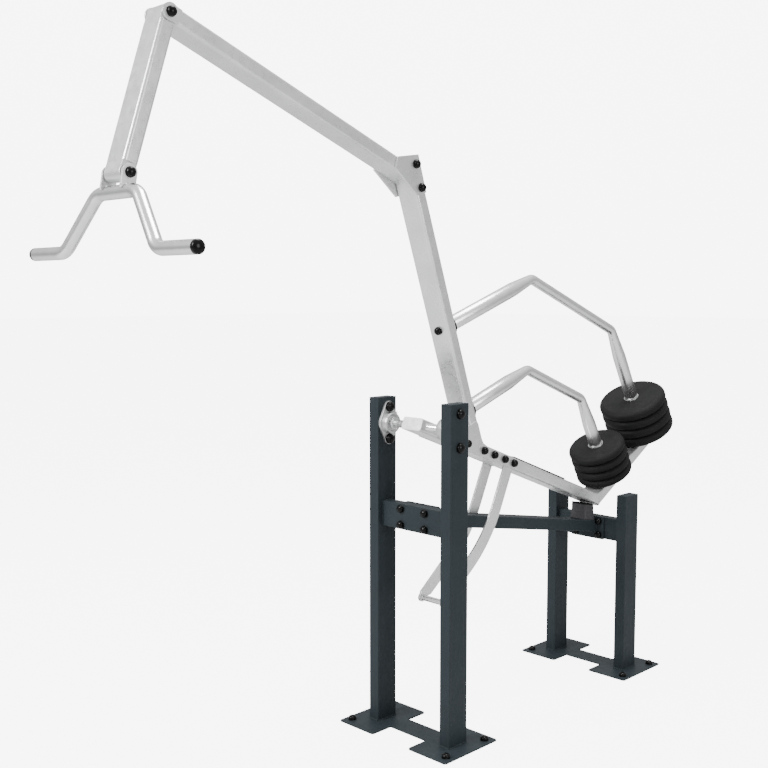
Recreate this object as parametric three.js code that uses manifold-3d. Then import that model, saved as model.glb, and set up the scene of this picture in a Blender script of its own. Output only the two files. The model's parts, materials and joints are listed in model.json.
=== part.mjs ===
// Plate-loaded lat pulldown machine: a lever frame rocks on an axle carried by a two-post stand.
// Millimetres, +Z up, +X right, +Y from the handle side toward the weight side.
// The origin is on the floor, midway between the two front posts and under the axle.
import * as THREE from 'three';
import { mergeVertices } from 'three/addons/utils/BufferGeometryUtils.js';
import Module from 'manifold-3d';

const wasm = await Module();
wasm.setup();

// Common sizes
const GAP = 0.3;
const RAD = Math.PI / 180;
const TUBE_WIDE = 100;
const TUBE_DEEP = 50;
const WALL = 4;
const PLATE = 8;
const POST_CORNER = 3;
const LEVER_CORNER = 10;
const SIDE = TUBE_WIDE / 2 + GAP;

// Stand
const POST_X = 188;
const FRONT_HEIGHT = 1300;
const REAR_HEIGHT = 800;
const REAR_Y = 1180;
const BASE_THICK = 6;
const FOOT_INNER = 94;
const FOOT_OUTER = 282;
const FOOT_HALF = 150;
const WEB_HALF = 50;
const ANCHOR_X = 250;
const ANCHOR_Y = 110;
const FRONT_BAR_Z = 843.5;
const REAR_BAR_Z = 633.5;
const BAR_SPAN = 2 * (POST_X - TUBE_DEEP / 2 - GAP);
const FLANGE_THICK = 10;
const BUMPER_Y = 1105;

// Axle and bearings
const AXLE_Z = 1200;
const AXLE_R = 15;
const BEARING_BOLT = 63;
const BEARING_FACE = POST_X - TUBE_DEEP / 2 - GAP;
const BEARING_BORE = 28.2;
const BOLT_R = 8;
const BOLT_HOLE = 8.3;
const CAP_R = 16.5;
const BEARING_CAP_R = 20;
const CAP_HIGH = 18;

// Lever frame, in its own plane: along and up from the axle
const LEVER_TILT = -20.7;
const BEAM_START = -31;
const KNEE = [1243, 0];
const LEG_ANGLE = 50;
const LEG_LENGTH = 590;
const UPRIGHT_FOOT = [333, 0];
const UPRIGHT_ANGLE = 130;
const UPRIGHT_TOP = 1183;
const BOOM_LEVEL = 850.3;
const BOOM_TIP = [-1512.5, BOOM_LEVEL];
const BOOM_END_BACK = 33;
const STOP_FACE_BACK = 26.6;
const EAR_R = 28;
const HUB_BOLTS = [240, 350, 418, 490, 555];
const ELBOW_BOLTS = [1069, 1157];

// Guide bars and weight plates
const PIPE_R = 21.2;
const SLEEVE_R = 30;
const TAPER = 120;
const DISC_R = 45;
const DISC_THICK = 9;
const PLATE_BORE = 31;

// Link and handle
const LINK_LENGTH = 501.8;
const LINK_LEAN = -17.83;
const KNUCKLE_R = 26;
const KNUCKLE_HALF = 43;
const PIVOT_R = 10;
const PIVOT_BORE = 10.3;
const HANDLE_TILT = -10.84;
const HANDLE_BAR_DROP = 54.5;
const HANDLE_BAR_BACK = 2.9;
const GRIP_DROP = 173.3;
const GRIP_END = 456;
const GRIP_CAP = 20;

const PAINT = { color: 0x3f474e, roughness: 0.5, metalness: 0.3 };
const SILVER = { color: 0xc4c6c6, roughness: 0.4, metalness: 0.4 };
const POLISHED = { color: 0xd4d6d8, roughness: 0.2, metalness: 1 };
const BLACK = { color: 0x141414, roughness: 0.25, metalness: 0 };
const RUBBER = { color: 0x2c2c2d, roughness: 0.7, metalness: 0 };
const GREY = { color: 0x5d5a5e, roughness: 0.8, metalness: 0 };
const WHITE = { color: 0xe8ebea, roughness: 0.5, metalness: 0 };

// ---- Boolean helpers -------------------------------------------------------------------------

function solid(geometry) {
  const bare = geometry.clone();
  bare.deleteAttribute('normal');
  bare.deleteAttribute('uv');
  const merged = mergeVertices(bare, 1e-4);
  const vertProperties = new Float32Array(merged.attributes.position.array);
  const triVerts = new Uint32Array(merged.index.array);
  return new wasm.Manifold(new wasm.Mesh({ numProp: 3, vertProperties, triVerts }));
}

function surface(manifold) {
  const mesh = manifold.getMesh();
  const geometry = new THREE.BufferGeometry();
  geometry.setAttribute('position', new THREE.BufferAttribute(mesh.vertProperties, 3));
  geometry.setIndex(new THREE.BufferAttribute(mesh.triVerts, 1));
  geometry.computeVertexNormals();
  return geometry;
}

function joined(...geometries) {
  return surface(geometries.map(solid).reduce((sum, next) => sum.add(next)));
}

function cut(geometry, ...tools) {
  return surface(tools.map(solid).reduce((rest, tool) => rest.subtract(tool), solid(geometry)));
}

// ---- Shapes ----------------------------------------------------------------------------------

function roundedRect(width, height, radius, steps = 3) {
  const points = [];
  const corners = [[1, 1, 0], [-1, 1, 90], [-1, -1, 180], [1, -1, 270]];
  for (const [sx, sy, start] of corners) {
    for (let i = 0; i <= steps; i += 1) {
      const angle = (start + (90 * i) / steps) * RAD;
      const x = sx * (width / 2 - radius) + radius * Math.cos(angle);
      const y = sy * (height / 2 - radius) + radius * Math.sin(angle);
      points.push(new THREE.Vector2(x, y));
    }
  }
  return points;
}

function circle(radius, segments, cx = 0, cy = 0) {
  const points = [];
  for (let i = 0; i < segments; i += 1) {
    const angle = (2 * Math.PI * i) / segments;
    points.push(new THREE.Vector2(cx + radius * Math.cos(angle), cy + radius * Math.sin(angle)));
  }
  return points;
}

function arc(radius, from, to, steps, cx = 0, cy = 0) {
  const points = [];
  for (let i = 0; i <= steps; i += 1) {
    const angle = (from + ((to - from) * i) / steps) * RAD;
    points.push([cx + radius * Math.cos(angle), cy + radius * Math.sin(angle)]);
  }
  return points;
}

function extrude(outline, length, holes = []) {
  const shape = new THREE.Shape(outline);
  shape.holes = holes.map((hole) => new THREE.Path(hole));
  return new THREE.ExtrudeGeometry(shape, { depth: length, bevelEnabled: false });
}

// A rectangular tube along local Z with both ends open.
function openTube(width, depth, corner, length) {
  const inner = roundedRect(width - 2 * WALL, depth - 2 * WALL, Math.max(corner - WALL, 1), 2);
  return extrude(roundedRect(width, depth, corner), length, [inner]);
}

// The same tube, closed by its own end plate at the far end.
function cappedTube(width, depth, corner, length) {
  const outer = extrude(roundedRect(width, depth, corner), length);
  const inner = extrude(roundedRect(width - 2 * WALL, depth - 2 * WALL, 1, 1), length);
  return cut(outer, inner.translate(0, 0, -WALL));
}

// A flat outline drawn in the Y-Z plane and given thickness along X, starting at x.
function sheet(outline, x, thickness, holes = []) {
  const points = outline.map(([y, z]) => new THREE.Vector2(y, z));
  const turn = new THREE.Matrix4().set(0, 0, 1, x, 1, 0, 0, 0, 0, 1, 0, 0, 0, 0, 0, 1);
  return extrude(points, thickness, holes).applyMatrix4(turn);
}

function facingOut(geometry) {
  const merged = mergeVertices(geometry, 1e-5);
  const at = merged.attributes.position;
  const index = merged.index.array;
  const [a, b, c] = [new THREE.Vector3(), new THREE.Vector3(), new THREE.Vector3()];
  let volume = 0;
  for (let i = 0; i < index.length; i += 3) {
    a.fromBufferAttribute(at, index[i]);
    b.fromBufferAttribute(at, index[i + 1]);
    c.fromBufferAttribute(at, index[i + 2]);
    volume += a.dot(b.cross(c));
  }
  if (volume < 0) {
    for (let i = 0; i < index.length; i += 3) {
      [index[i], index[i + 1]] = [index[i + 1], index[i]];
    }
  }
  return merged;
}

// A turned piece: pairs of radius and distance along the axis, which runs along local Y.
function turned(profile, segments) {
  const points = profile.map(([radius, along]) => new THREE.Vector2(radius, along));
  const lathe = new THREE.LatheGeometry(points, segments);
  lathe.deleteAttribute('normal');
  lathe.deleteAttribute('uv');
  return facingOut(lathe);
}

const alongX = (geometry) => geometry.rotateZ(-90 * RAD);

// A cylinder along X for cutting a round hole at height (y, z).
function drill(radius, y, z, halfLength, segments = 12) {
  const profile = [[0, -halfLength], [radius, -halfLength], [radius, halfLength], [0, halfLength]];
  return alongX(turned(profile, segments)).translate(0, y, z);
}

// A bolt with a domed cap on each end. The caps bear on faces half a grip either side of centre.
function cappedBolt(halfGrip, shank = BOLT_R, cap = CAP_R) {
  const dome = [[0, CAP_HIGH], [0.6 * cap, 0.87 * CAP_HIGH], [0.95 * cap, 0.45 * CAP_HIGH], [cap, 0]];
  const left = [...dome, [shank, 0]].map(([radius, rise]) => [radius, -halfGrip - rise]);
  const right = left.map(([radius, along]) => [radius, -along]).reverse();
  return alongX(turned([...left, ...right], 12));
}

// ---- Placing ---------------------------------------------------------------------------------

function add(parent, name, geometry, look, position = [0, 0, 0]) {
  const mesh = new THREE.Mesh(geometry, new THREE.MeshStandardMaterial(look));
  mesh.name = name;
  mesh.position.set(...position);
  parent.add(mesh);
  return mesh;
}

function group(parent, name, position, tilt) {
  const child = new THREE.Group();
  child.name = name;
  child.position.set(...position);
  child.rotation.x = tilt * RAD;
  parent.add(child);
  return child;
}

// Turns a member that runs along local Z so that it points the given angle up from +Y.
const pitch = (angle) => Math.atan2(-Math.cos(angle * RAD), Math.sin(angle * RAD));

function place(mesh, start, angle) {
  mesh.position.set(0, start[0], start[1]);
  mesh.rotation.x = pitch(angle);
  return mesh;
}

// Slides the end of a member along its length so that it follows a sloping cut.
function mitre(geometry, length, atEnd, slope, shift = 0) {
  const at = geometry.attributes.position;
  for (let i = 0; i < at.count; i += 1) {
    const isEnd = at.getZ(i) > length / 2;
    if (isEnd === atEnd) {
      at.setZ(i, at.getZ(i) + shift + slope * at.getY(i));
    }
  }
  return geometry;
}

const polar = (start, angle, distance) => [
  start[0] + distance * Math.cos(angle * RAD),
  start[1] + distance * Math.sin(angle * RAD),
];

// ---- Bent pipe -------------------------------------------------------------------------------

// A path of straight runs and round bends, with a ring station wherever the pipe must have one.
class BentPath extends THREE.Curve {
  constructor(stations) {
    super();
    this.stations = stations;
  }

  station(u) {
    return this.stations[Math.round(u * (this.stations.length - 1))];
  }

  getPointAt(u) {
    return this.station(u).point.clone();
  }

  getTangentAt(u) {
    return this.station(u).tangent.clone();
  }
}

function bendStations(before, corner, after, radius, steps) {
  const into = corner.clone().sub(before).normalize();
  const out = after.clone().sub(corner).normalize();
  const angle = into.angleTo(out);
  const back = radius * Math.tan(angle / 2);
  const axis = into.clone().cross(out).normalize();
  const first = corner.clone().addScaledVector(into, -back);
  const centre = first.clone().addScaledVector(axis.clone().cross(into), radius);
  const stations = [];
  for (let i = 0; i <= steps; i += 1) {
    const turn = (angle * i) / steps;
    const point = first.clone().sub(centre).applyAxisAngle(axis, turn).add(centre);
    stations.push({ point, tangent: into.clone().applyAxisAngle(axis, turn), scale: 1 });
  }
  return stations;
}

// Stations through a list of corner points. Extra ones on a straight run change the pipe's size.
function pipeStations(corners, radius, steps) {
  const last = corners.length - 1;
  const stations = [];
  const tangent = (a, b) => b.clone().sub(a).normalize();
  stations.push({ point: corners[0].clone(), tangent: tangent(corners[0], corners[1]), scale: 1 });
  for (let i = 1; i < last; i += 1) {
    stations.push(...bendStations(corners[i - 1], corners[i], corners[i + 1], radius, steps));
  }
  const end = tangent(corners[last - 1], corners[last]);
  stations.push({ point: corners[last].clone(), tangent: end, scale: 1 });
  return stations;
}

function pipe(stations, radius, wall, segments) {
  const path = new BentPath(stations);
  const shape = new THREE.Shape(circle(radius, segments));
  shape.holes = [new THREE.Path(circle(radius - wall, segments))];
  const options = { steps: stations.length - 1, extrudePath: path, bevelEnabled: false };
  const geometry = new THREE.ExtrudeGeometry(shape, options);
  const at = geometry.attributes.position;
  const point = new THREE.Vector3();
  for (let i = 0; i < at.count; i += 1) {
    point.fromBufferAttribute(at, i);
    const ring = stations.find((station) => isOnRing(point, station, radius));
    point.sub(ring.point).multiplyScalar(ring.scale).add(ring.point);
    at.setXYZ(i, point.x, point.y, point.z);
  }
  return geometry;
}

function isOnRing(point, station, radius) {
  const away = point.clone().sub(station.point);
  return Math.abs(away.dot(station.tangent)) < 1e-3 && away.length() < radius + 0.1;
}

// ---- Stand -----------------------------------------------------------------------------------

function basePlate() {
  const web = WEB_HALF;
  const points = [];
  const corner = (x, y, start) => points.push(...arc(10, start, start + 90, 2, x, y));
  corner(FOOT_OUTER - 10, FOOT_HALF - 10, 0);
  corner(FOOT_INNER + 10, FOOT_HALF - 10, 90);
  points.push([FOOT_INNER, web], [-FOOT_INNER, web]);
  corner(-FOOT_INNER - 10, FOOT_HALF - 10, 0);
  corner(-FOOT_OUTER + 10, FOOT_HALF - 10, 90);
  corner(-FOOT_OUTER + 10, -FOOT_HALF + 10, 180);
  corner(-FOOT_INNER - 10, -FOOT_HALF + 10, 270);
  points.push([-FOOT_INNER, -web], [FOOT_INNER, -web]);
  corner(FOOT_INNER + 10, -FOOT_HALF + 10, 180);
  corner(FOOT_OUTER - 10, -FOOT_HALF + 10, 270);
  const outline = points.map(([x, y]) => new THREE.Vector2(x, y));
  const holes = [];
  for (const x of [-ANCHOR_X, ANCHOR_X]) {
    for (const y of [-ANCHOR_Y, ANCHOR_Y]) {
      holes.push(circle(7.5, 12, x, y));
    }
  }
  return extrude(outline, BASE_THICK, holes);
}

function post(height) {
  return cappedTube(TUBE_DEEP, TUBE_WIDE, POST_CORNER, height - BASE_THICK - GAP);
}

function frontPost(side) {
  const geometry = post(FRONT_HEIGHT);
  const base = BASE_THICK + GAP;
  const low = drill(BOLT_HOLE, 0, AXLE_Z - BEARING_BOLT - base, 40);
  const high = drill(BOLT_HOLE, 0, AXLE_Z + BEARING_BOLT - base, 40);
  const holed = cut(geometry, low, high);
  return holed.translate(side * POST_X, 0, base);
}

function crossbar() {
  const bar = openTube(TUBE_DEEP, TUBE_WIDE, POST_CORNER, BAR_SPAN);
  return bar.translate(0, 0, -BAR_SPAN / 2).rotateZ(90 * RAD).rotateY(90 * RAD);
}

const spineSlope = (REAR_BAR_Z - FRONT_BAR_Z) / REAR_Y;
const spineTop = (y) => FRONT_BAR_Z + spineSlope * y + TUBE_DEEP / 2 / Math.cos(Math.atan(spineSlope));

// The sloping tube that ties the two crossbars, with a bolting flange welded to each end.
function spineBeam() {
  const angle = Math.atan(spineSlope) / RAD;
  const front = TUBE_DEEP / 2 + GAP;
  const back = REAR_Y - TUBE_DEEP / 2 - GAP;
  const length = (back - front - FLANGE_THICK) / Math.cos(angle * RAD);
  const start = front + FLANGE_THICK / 2;
  const tube = openTube(TUBE_WIDE, TUBE_DEEP, POST_CORNER, length);
  mitre(tube, length, true, -spineSlope);
  mitre(tube, length, false, -spineSlope);
  tube.rotateX(pitch(angle)).translate(0, start, FRONT_BAR_Z + spineSlope * start);
  const flanges = [[front, FRONT_BAR_Z], [back - FLANGE_THICK, REAR_BAR_Z]].map(([y, z]) => {
    const flange = extrude(roundedRect(174, 103, 6), FLANGE_THICK, [circle(12, 12)]);
    return flange.rotateX(90 * RAD).translate(0, y + FLANGE_THICK, z);
  });
  return joined(tube, ...flanges);
}

// Height of the lever beam's underside while the lever is down.
function beamUnderside(y) {
  const tilt = LEVER_TILT * RAD;
  return AXLE_Z + (Math.sin(tilt) * y - TUBE_DEEP / 2) / Math.cos(tilt);
}

// Rubber block that the lever's beam lies on. It tapers upward and its top is parallel to the spine,
// so that the beam meets the rear edge of the top first.
function bumper() {
  const block = extrude(roundedRect(84, 76, 4, 2), 1);
  const rearEdge = BUMPER_Y + 34;
  const at = block.attributes.position;
  for (let i = 0; i < at.count; i += 1) {
    const isTop = at.getZ(i) > 0.5;
    const x = at.getX(i) * (isTop ? 38 / 42 : 1);
    const y = at.getY(i) * (isTop ? 34 / 38 : 1);
    const top = beamUnderside(rearEdge) - GAP + spineSlope * (y - 34);
    at.setXYZ(i, x, y, isTop ? top : spineTop(BUMPER_Y + y) + GAP);
  }
  return block;
}

// ---- Bearings --------------------------------------------------------------------------------

function bearingHousing(side) {
  const spread = Math.acos((48 - 22) / BEARING_BOLT) / RAD;
  const outline = [
    ...arc(48, spread - 90, 90 - spread, 5),
    ...arc(22, 90 - spread, 90 + spread, 5, 0, BEARING_BOLT),
    ...arc(48, 90 + spread, 270 - spread, 5),
    ...arc(22, 270 - spread, 270 + spread, 5, 0, -BEARING_BOLT),
  ];
  const flange = sheet(outline, BEARING_FACE - 12, 12);
  const boss = alongX(turned([[0, 128], [37, 128], [41, 132], [42, 155], [0, 155]], 32));
  const bore = drill(BEARING_BORE, 0, 0, 200, 32);
  const low = drill(BOLT_HOLE, 0, -BEARING_BOLT, 200);
  const high = drill(BOLT_HOLE, 0, BEARING_BOLT, 200);
  const housing = cut(joined(flange, boss), bore, low, high);
  return side > 0 ? housing : housing.rotateZ(Math.PI);
}

function bearingInsert(side) {
  const inner = AXLE_R + GAP;
  const profile = [
    [inner, 118], [23, 118], [24, 119], [24, 133], [28, 133], [28, 161], [inner, 161], [inner, 118],
  ];
  const insert = alongX(turned(profile, 32));
  return side > 0 ? insert : insert.rotateZ(Math.PI);
}

// ---- Lever frame -----------------------------------------------------------------------------

const uprightPoint = (u, v) => polar(polar(UPRIGHT_FOOT, UPRIGHT_ANGLE, u), 220, v);
const uprightSlope = 1 / Math.tan(UPRIGHT_ANGLE * RAD);
const kneeSlope = Math.tan((LEG_ANGLE / 2) * RAD);

function beamTube() {
  const length = KNEE[0] - BEAM_START;
  const tube = openTube(TUBE_WIDE, TUBE_DEEP, LEVER_CORNER, length);
  mitre(tube, length, true, kneeSlope, -GAP / 2);
  const holes = HUB_BOLTS.map((y) => drill(BOLT_HOLE, 0, y - BEAM_START, 60));
  return cut(tube, drill(AXLE_R + GAP, 0, -BEAM_START, 60, 24), ...holes);
}

function legTube() {
  const tube = openTube(TUBE_WIDE, TUBE_DEEP, LEVER_CORNER, LEG_LENGTH);
  return mitre(tube, LEG_LENGTH, false, -kneeSlope, GAP / 2);
}

// Moulded plug with a rim that covers the end of a tube.
function tubeEndCap() {
  const rim = extrude(roundedRect(TUBE_WIDE, TUBE_DEEP, LEVER_CORNER), 3);
  const plug = extrude(roundedRect(TUBE_WIDE - 2 * WALL - 1, TUBE_DEEP - 2 * WALL - 1, 5.5, 2), 18);
  return joined(rim, plug);
}

function uprightTube(foot) {
  const length = UPRIGHT_TOP - foot;
  const tube = cappedTube(TUBE_WIDE, TUBE_DEEP, LEVER_CORNER, length);
  mitre(tube, length, false, uprightSlope);
  return cut(tube, ...ELBOW_BOLTS.map((u) => drill(BOLT_HOLE, -3, u - foot, 60)));
}

// The boom runs level from the upright to a pair of ears that hold the link's top pivot.
// A plate between the ears is the stop that the hanging link leans on.
function boomTube() {
  const start = uprightPoint(0, TUBE_DEEP / 2 + GAP);
  const root = start[0] + (BOOM_LEVEL - start[1]) * uprightSlope;
  const [tipY, tipZ] = BOOM_TIP;
  const length = root - (tipY + BOOM_END_BACK);
  const tube = openTube(TUBE_WIDE, TUBE_DEEP, LEVER_CORNER, length);
  mitre(tube, length, false, -uprightSlope);
  tube.rotateX(pitch(180)).translate(0, root, BOOM_LEVEL);
  const back = tipY + BOOM_END_BACK + 2;
  const side = TUBE_DEEP / 2 - 1;
  const ear = [...arc(EAR_R, 60, 300, 12, tipY, tipZ), [back, tipZ - side], [back, tipZ + side]];
  const near = tipY + STOP_FACE_BACK;
  const stop = [[near, tipZ - 25], [near + 7, tipZ - 25], [near + 7, tipZ + 21], [near, tipZ + 21]];
  const half = TUBE_WIDE / 2;
  const body = joined(tube, sheet(ear, half - 6, 6), sheet(ear, -half, 6), sheet(stop, -45, 90));
  return cut(body, drill(PIVOT_BORE, tipY, tipZ, 60, 24));
}

function hubPlate(side) {
  const outline = [
    [80, -25], [563, -25], ...arc(12, -90, 0, 3, 563, -13), ...arc(12, 0, 90, 3, 563, 10),
    [362, 22], [335, 28], [319.6, 40.9], [275.7, 91.6], [260, 98], [220.9, 65.2],
    [130, 22], [92, 22], [80, 10],
  ];
  const holes = HUB_BOLTS.map((y) => circle(BOLT_HOLE, 12, y, 0));
  return sheet(outline, side > 0 ? SIDE : -SIDE - PLATE, PLATE, holes);
}

function elbowPlate(side) {
  const outline = [
    [-508.8, 869.3], [-505, 826.8], [-365.1, 782.2], [-324.9, 812.1], [-413.1, 923.4],
  ];
  const holes = ELBOW_BOLTS.map((u) => circle(BOLT_HOLE, 12, ...uprightPoint(u, 3)));
  return sheet(outline, side > 0 ? SIDE : -SIDE - PLATE, PLATE, holes);
}

// Curved strap that hangs from the beam and carries the stop tube at its lower end.
function stopStrap(side) {
  const half = 29;
  const bend = 560;
  const [first, last] = [-94.4, -121.35];
  const centre = polar([514, -195], first - 90, bend);
  const rear = arc(bend + half, first + 90, last + 90, 8, ...centre);
  const front = arc(bend - half, first + 90, last + 90, 8, ...centre).reverse();
  const outline = [
    [527 - half, -25.4], ...front.reverse(), [310, -597], ...arc(17, 170, 380, 8, 328, -620),
    [371, -600], ...rear.reverse(), [527 + half, -25.4],
  ];
  return sheet(outline, side > 0 ? SIDE : -SIDE - PLATE, PLATE, [circle(11.8, 20, 328, -620)]);
}

function stopTube() {
  const reach = SIDE + PLATE + GAP;
  const end = reach + 4;
  const profile = [
    [9, -end], [17, -end], [17, -reach], [11.5, -reach], [11.5, reach], [17, reach], [17, end],
    [9, end], [9, -end],
  ];
  return alongX(turned(profile, 20));
}

// ---- Guide bars and weight plates ------------------------------------------------------------

// A guide bar leaves the upright square to it, bends level, bends down and meets the leg squarely.
function guideBar(start, riseLength, levelLength, fallLength) {
  const up = 40;
  const bendBack = 45 * Math.tan(20 * RAD);
  const foot = TUBE_DEEP / 2 + DISC_THICK + 2 * GAP;
  const first = polar(start, up, riseLength);
  const second = polar(first, 0, levelLength);
  const spot = ([y, z]) => new THREE.Vector3(0, y, z);
  const corners = [polar(start, up, foot), first, second];
  corners.push(polar(second, -up, fallLength - TUBE_DEEP / 2 - GAP));
  const stations = pipeStations(corners.map(spot), 45, 3);
  const wide = SLEEVE_R / PIPE_R;
  const last = stations.length - 1;
  const onRun = (point, angle, distance, scale) => ({
    point: spot(polar(point, angle, distance)),
    tangent: spot(polar([0, 0], angle, 1)),
    scale,
  });
  stations[0].scale = wide;
  stations[last].scale = wide;
  const fall = [onRun(second, -up, 20, 1), onRun(second, -up, 20 + TAPER, wide)];
  stations.splice(last, 0, ...fall);
  stations.splice(1, 0, onRun(first, up - 180, bendBack + TAPER, wide));
  stations[1].tangent = stations[0].tangent.clone();
  return pipe(stations, PIPE_R, WALL, 16);
}

function guideDisc() {
  const profile = [[12, 0], [DISC_R, 0], [DISC_R, DISC_THICK], [12, DISC_THICK], [12, 0]];
  return turned(profile, 28);
}

function weightPlate(radius, thick) {
  const profile = [
    [PLATE_BORE, 0], [radius - 12, 0], [radius - 3.5, 3.5], [radius, 12], [radius, thick - 12],
    [radius - 3.5, thick - 3.5], [radius - 12, thick], [PLATE_BORE, thick], [PLATE_BORE, 0],
  ];
  return turned(profile, 32);
}

function addStack(parent, name, along, first, pitchUp, radius) {
  for (let i = 0; i < 4; i += 1) {
    const base = polar(polar(KNEE, LEG_ANGLE, along), LEG_ANGLE + 90, first + i * pitchUp);
    const plate = add(parent, `${name}_${i + 1}`, weightPlate(radius, pitchUp - GAP), RUBBER);
    plate.position.set(0, ...base);
    plate.rotation.x = (LEG_ANGLE + 90) * RAD;
  }
}

// ---- Link and handle -------------------------------------------------------------------------

function linkBar() {
  const inset = 31;
  const length = LINK_LENGTH - 2 * inset;
  const tube = openTube(TUBE_WIDE, TUBE_DEEP, LEVER_CORNER, length);
  tube.translate(0, 0, inset - LINK_LENGTH);
  const knuckle = drill(KNUCKLE_R, 0, 0, KNUCKLE_HALF, 32);
  const neck = [[-25, -45], [25, -45], [25, 0], [-25, 0]];
  const top = [knuckle, sheet(neck, -KNUCKLE_HALF, 2 * KNUCKLE_HALF)];
  const bottom = top.map((piece) => piece.clone().rotateX(Math.PI).translate(0, 0, -LINK_LENGTH));
  const body = joined(tube, ...top, ...bottom);
  const bores = [0, -LINK_LENGTH].map((z) => drill(PIVOT_BORE, 0, z, 60, 24));
  return cut(body, ...bores);
}

function clevisEar(side) {
  const half = 24;
  const low = -HANDLE_BAR_DROP + 4;
  const saddle = arc(PIPE_R + 2 * GAP, 170, 10, 12, HANDLE_BAR_BACK, -HANDLE_BAR_DROP);
  const outline = [
    ...arc(25, 0, 180, 10), [-half, -8], [-half, low], ...saddle, [half + 1, low], [half + 1, -8],
  ];
  const x = side > 0 ? SIDE : -SIDE - PLATE;
  return sheet(outline, x, PLATE, [circle(PIVOT_BORE, 24)]);
}

function handleBar() {
  const top = -HANDLE_BAR_DROP;
  const low = top - GRIP_DROP;
  const end = GRIP_END - GRIP_CAP - GAP;
  const corners = [[-end, low], [-252.5, low], [-108.6, top], [108.6, top], [252.5, low], [end, low]];
  const points = corners.map(([x, z]) => new THREE.Vector3(x, HANDLE_BAR_BACK, z));
  return pipe(pipeStations(points, 60, 4), PIPE_R, 3.2, 16);
}

function gripCap(side) {
  const profile = [
    [0, -15], [17.3, -15], [17.3, 0], [PIPE_R, 0], [PIPE_R, 9], [19.4, 15], [14, 18.8], [0, GRIP_CAP],
  ];
  const start = GRIP_END - GRIP_CAP;
  const cap = alongX(turned(profile, 20)).translate(start, 0, 0);
  return side > 0 ? cap : cap.rotateZ(Math.PI);
}

// ---- Assembly --------------------------------------------------------------------------------

const SIDES = [['left', -1], ['right', 1]];
const machine = new THREE.Group();
machine.name = 'lat_pulldown';

function addStand() {
  const stand = group(machine, 'stand', [0, 0, 0], 0);
  add(stand, 'front_base_plate', basePlate(), PAINT);
  add(stand, 'rear_base_plate', basePlate(), PAINT, [0, REAR_Y, 0]);
  for (const [name, side] of SIDES) {
    const rear = post(REAR_HEIGHT).translate(side * POST_X, 0, BASE_THICK + GAP);
    add(stand, `front_post_${name}`, frontPost(side), PAINT);
    add(stand, `rear_post_${name}`, rear, PAINT, [0, REAR_Y, 0]);
    add(stand, `bearing_housing_${name}`, bearingHousing(side), POLISHED, [0, 0, AXLE_Z]);
    for (const [level, rise] of [['lower', -BEARING_BOLT], ['upper', BEARING_BOLT]]) {
      const grip = (TUBE_DEEP + 12 + 2 * GAP) / 2;
      const x = side * (POST_X + TUBE_DEEP / 2 + GAP - grip);
      const bolt = cappedBolt(grip, BOLT_R, BEARING_CAP_R);
      add(stand, `bearing_bolt_${level}_${name}`, bolt, BLACK, [x, 0, AXLE_Z + rise]);
    }
  }
  add(stand, 'front_crossbar', crossbar(), PAINT, [0, 0, FRONT_BAR_Z]);
  add(stand, 'rear_crossbar', crossbar(), PAINT, [0, REAR_Y, REAR_BAR_Z]);
  add(stand, 'spine_beam', spineBeam(), PAINT);
  add(stand, 'bumper', bumper(), GREY, [0, BUMPER_Y, 0]);
}

function addHandle(link) {
  const handle = group(link, 'handle', [0, 0, -LINK_LENGTH], HANDLE_TILT - LINK_LEAN);
  add(handle, 'handle_bar', handleBar(), POLISHED);
  add(handle, 'handle_pivot_bolt', cappedBolt(SIDE + PLATE + GAP, PIVOT_R), BLACK);
  const low = -HANDLE_BAR_DROP - GRIP_DROP;
  for (const [name, side] of SIDES) {
    add(handle, `clevis_ear_${name}`, clevisEar(side), SILVER);
    add(handle, `grip_cap_${name}`, gripCap(side), BLACK, [0, HANDLE_BAR_BACK, low]);
  }
}

function addLever() {
  const lever = group(machine, 'lever', [0, 0, AXLE_Z], LEVER_TILT);
  const axle = [[0, -161.5], [AXLE_R, -161.5], [AXLE_R, 161.5], [0, 161.5]];
  add(lever, 'axle', alongX(turned(axle, 24)), POLISHED);
  place(add(lever, 'lower_beam', beamTube(), SILVER), [BEAM_START, 0], 0);
  place(add(lever, 'beam_end_cap', tubeEndCap(), WHITE), [BEAM_START - 3 - GAP, 0], 0);
  place(add(lever, 'rack_leg', legTube(), SILVER), KNEE, LEG_ANGLE);
  const legEnd = polar(KNEE, LEG_ANGLE, LEG_LENGTH + 3 + GAP);
  place(add(lever, 'rack_leg_cap', tubeEndCap(), WHITE), legEnd, LEG_ANGLE + 180);
  const foot = (TUBE_DEEP / 2 + GAP) / Math.sin(UPRIGHT_ANGLE * RAD);
  place(add(lever, 'upright', uprightTube(foot), SILVER), uprightPoint(foot, 0), UPRIGHT_ANGLE);
  add(lever, 'boom', boomTube(), SILVER);
  add(lever, 'boom_pivot_bolt', cappedBolt(SIDE, PIVOT_R), BLACK, [0, ...BOOM_TIP]);
  add(lever, 'stop_tube', stopTube(), POLISHED, [0, 328, -620]);
  const pad = extrude(roundedRect(76, 386, 3, 1), 6);
  add(lever, 'beam_pad', pad, RUBBER, [0, 769, TUBE_DEEP / 2 + GAP]);
  for (const [name, side] of SIDES) {
    add(lever, `hub_plate_${name}`, hubPlate(side), SILVER);
    add(lever, `elbow_plate_${name}`, elbowPlate(side), SILVER);
    add(lever, `stop_strap_${name}`, stopStrap(side), SILVER);
    add(lever, `bearing_insert_${name}`, bearingInsert(side), POLISHED);
  }
  const grip = SIDE + PLATE + GAP;
  HUB_BOLTS.forEach((y, i) => add(lever, `hub_bolt_${i + 1}`, cappedBolt(grip), BLACK, [0, y, 0]));
  ELBOW_BOLTS.forEach((u, i) => {
    add(lever, `elbow_bolt_${i + 1}`, cappedBolt(grip), BLACK, [0, ...uprightPoint(u, 3)]);
  });
  return lever;
}

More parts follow.
